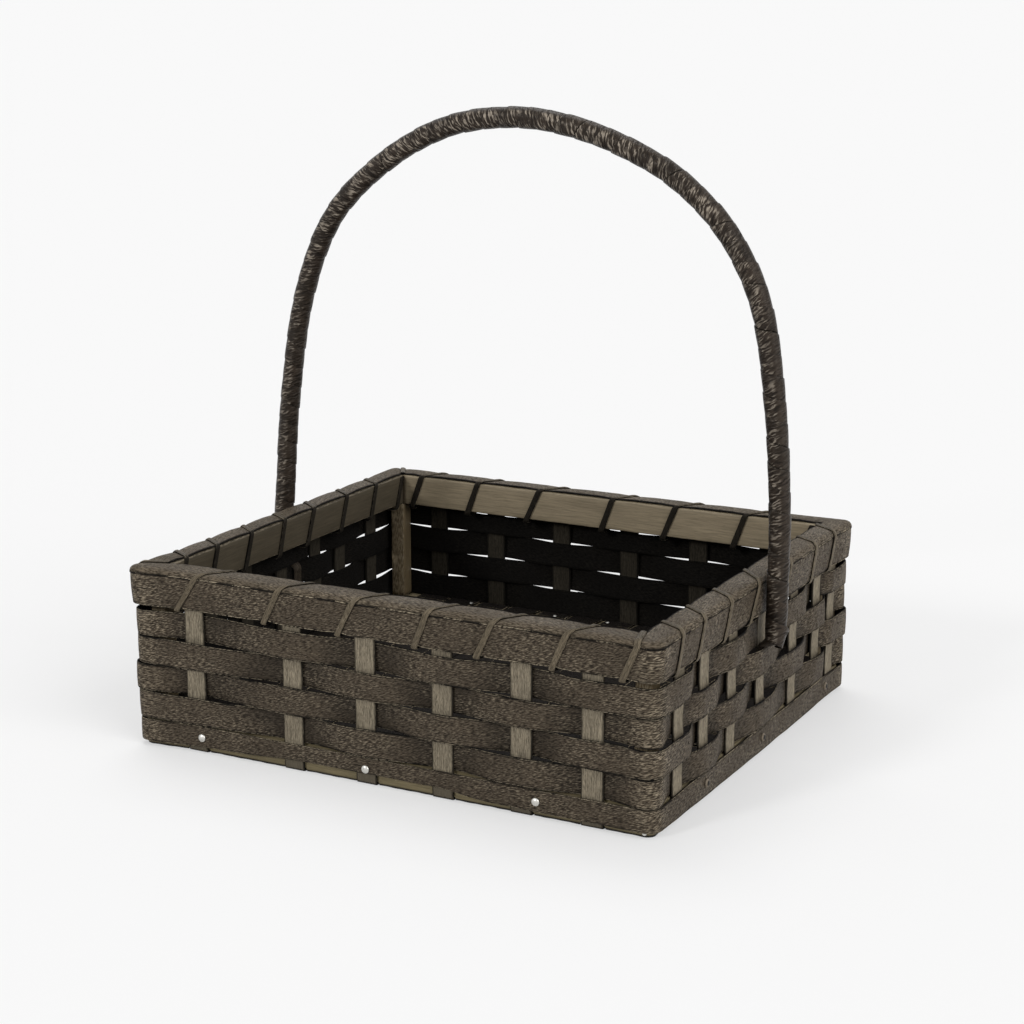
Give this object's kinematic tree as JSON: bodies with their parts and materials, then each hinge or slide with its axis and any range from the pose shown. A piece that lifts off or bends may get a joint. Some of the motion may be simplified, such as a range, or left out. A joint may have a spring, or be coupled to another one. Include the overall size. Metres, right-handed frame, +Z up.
{
  "type": "gift basket",
  "caption": "Low square woven cane basket with flat rim, wrapped bow handle, nailed bottom band and plain wooden base frame.",
  "frame": {"origin": "middle of the basket at the surface it stands on", "axes": "+Z up, +X to the right along the front wall, -Y out of the front wall"},
  "size_m": [0.3236, 0.269, 0.3295],
  "materials": {
    "dark_strip": "dark stained cane strip, satin, fine grain along the strip",
    "pale_splint": "pale grey brown cane splint, matt",
    "floor_strip": "near black glossy cane strip",
    "board_wood": "olive brown stained wood, satin",
    "batten_wood": "olive brown rough wood",
    "post_wood": "dark brown stained wood",
    "binding_cane": "olive brown cane peel, satin",
    "handle_core": "dark cane rod",
    "handle_cane": "near black brown glossy cane wrap",
    "nail_steel": "bright steel"
  },
  "bodies": {
    "root": {"weaver_rim": "dark_strip", "weaver_1": "dark_strip", "weaver_2": "dark_strip", "weaver_3": "dark_strip", "weaver_4": "dark_strip", "bottom_band": "dark_strip", "rim_band": "dark_strip", "rim_cap": "dark_strip", "splint_front_rear_1": "pale_splint", "splint_front_rear_2": "pale_splint", "splint_front_rear_3": "pale_splint", "splint_front_rear_4": "pale_splint", "splint_front_rear_5": "pale_splint", "splint_front_rear_6": "pale_splint", "splint_left_right_1": "pale_splint", "splint_left_right_2": "pale_splint", "splint_left_right_3": "pale_splint", "splint_left_right_4": "pale_splint", "splint_left_right_5": "pale_splint", "splint_left_right_6": "pale_splint", "splint_left_right_7": "pale_splint", "floor_strip_x_1": "floor_strip", "floor_strip_x_2": "floor_strip", "floor_strip_x_3": "floor_strip", "floor_strip_x_4": "floor_strip", "floor_strip_y_1": "floor_strip", "floor_strip_y_2": "floor_strip", "floor_strip_y_3": "floor_strip", "floor_strip_y_4": "floor_strip", "floor_strip_y_5": "floor_strip", "rim_board_front": "board_wood", "rim_board_right": "board_wood", "rim_board_rear": "board_wood", "rim_board_left": "board_wood", "base_batten_front": "batten_wood", "base_batten_right": "batten_wood", "base_batten_rear": "batten_wood", "base_batten_left": "batten_wood", "corner_post_rear_right": "post_wood", "corner_post_rear_left": "post_wood", "corner_post_front_left": "post_wood", "corner_post_front_right": "post_wood", "rim_binding_front": "binding_cane", "rim_binding_right": "binding_cane", "rim_binding_rear": "binding_cane", "rim_binding_left": "binding_cane", "handle_core": "handle_core", "handle_wrap": "handle_cane", "nail_front_1": "nail_steel", "nail_front_2": "nail_steel", "nail_front_3": "nail_steel", "nail_right_1": "nail_steel", "nail_right_2": "nail_steel", "nail_right_3": "nail_steel", "nail_rear_1": "nail_steel", "nail_rear_2": "nail_steel", "nail_rear_3": "nail_steel", "nail_left_1": "nail_steel", "nail_left_2": "nail_steel", "nail_left_3": "nail_steel"}
  },
  "joints": []
}
